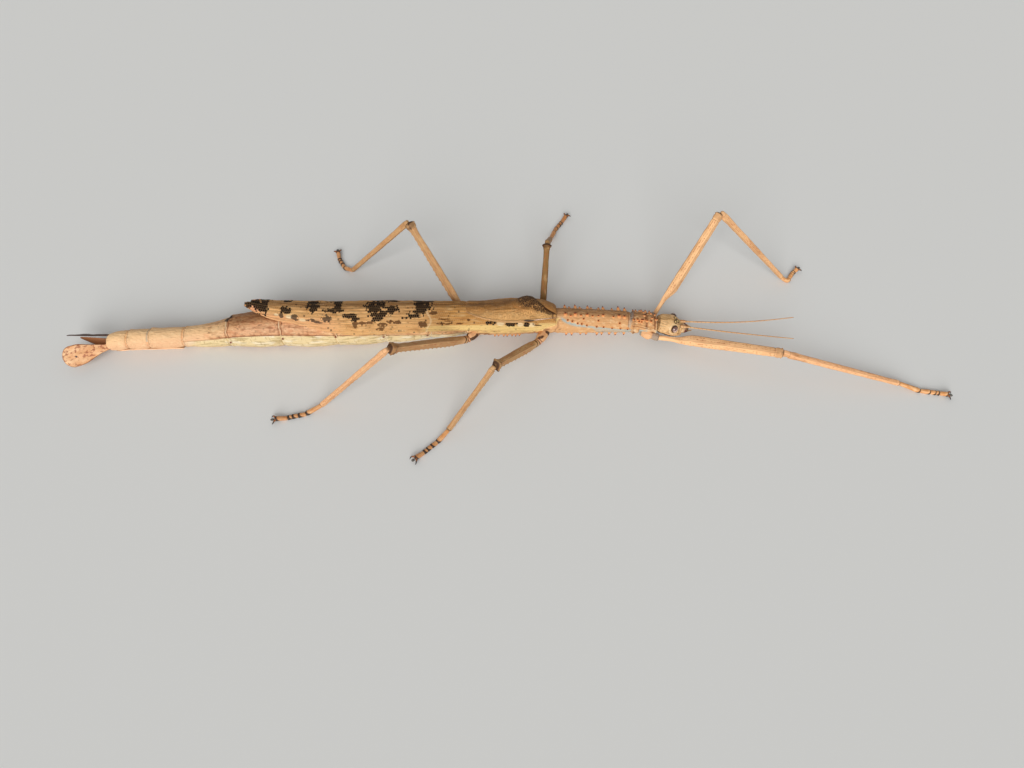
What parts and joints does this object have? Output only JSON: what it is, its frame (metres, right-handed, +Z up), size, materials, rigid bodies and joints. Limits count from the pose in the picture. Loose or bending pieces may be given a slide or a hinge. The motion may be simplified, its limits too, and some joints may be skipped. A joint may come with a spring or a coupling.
{
  "type": "giant stick insect",
  "caption": "Long slender winged stick insect standing at rest, with folded patterned wings, spiny thorax, leaf-like tail blades and spread thin legs.",
  "frame": {"origin": "bottom centre of the whole insect's box, on the floor it stands on", "axes": "+X from tail to head, +Y to the insect's left, +Z up"},
  "size_m": [0.261, 0.0974, 0.0277],
  "materials": {
    "thorax": "dry pinkish-tan cuticle, finely wrinkled",
    "abdomen": "dry tan cuticle with a cream strip along each side",
    "head": "dry tan-olive cuticle, finely lined",
    "eye": "smooth glossy brown",
    "mouth": "red-brown cuticle",
    "antenna": "tan, slender",
    "hindwing": "leathery folded wing, veined, tan with dark blotches",
    "tegmen": "leathery olive-brown forewing with a net of veins",
    "leg": "dry olive-tan to orange-tan ridged cuticle",
    "foot": "orange-brown cuticle with dark joints",
    "cercus": "thin leaf, orange-tan with fine speckles",
    "plate": "red-brown thin plate"
  },
  "bodies": {
    "root": {"pronotum": "thorax", "mesothorax": "thorax", "metathorax": "thorax", "abdomen_2": "abdomen", "abdomen_3": "abdomen", "abdomen_4": "abdomen", "abdomen_5": "abdomen", "abdomen_6": "abdomen", "abdomen_7": "abdomen", "abdomen_8": "abdomen", "abdomen_9": "abdomen", "abdomen_10": "abdomen", "head": "head", "eye_right": "eye", "eye_left": "eye", "mouthparts": "mouth", "antenna_right": "antenna", "antenna_left": "antenna", "hindwing_right": "hindwing", "hindwing_left": "hindwing", "tegmen_right": "tegmen", "tegmen_left": "tegmen", "femur_front_right": "leg", "coxa_front_right": "leg", "tibia_front_right": "leg", "tarsus_front_right": "foot", "femur_front_left": "leg", "coxa_front_left": "leg", "tibia_front_left": "leg", "tarsus_front_left": "foot", "femur_middle_right": "leg", "coxa_middle_right": "leg", "tibia_middle_right": "leg", "tarsus_middle_right": "foot", "femur_middle_left": "leg", "coxa_middle_left": "leg", "tibia_middle_left": "leg", "tarsus_middle_left": "foot", "femur_hind_right": "leg", "coxa_hind_right": "leg", "tibia_hind_right": "leg", "tarsus_hind_right": "foot", "femur_hind_left": "leg", "coxa_hind_left": "leg", "tibia_hind_left": "leg", "tarsus_hind_left": "foot", "cercus_right": "cercus", "cercus_left": "cercus", "subgenital_plate": "plate"}
  },
  "joints": []
}
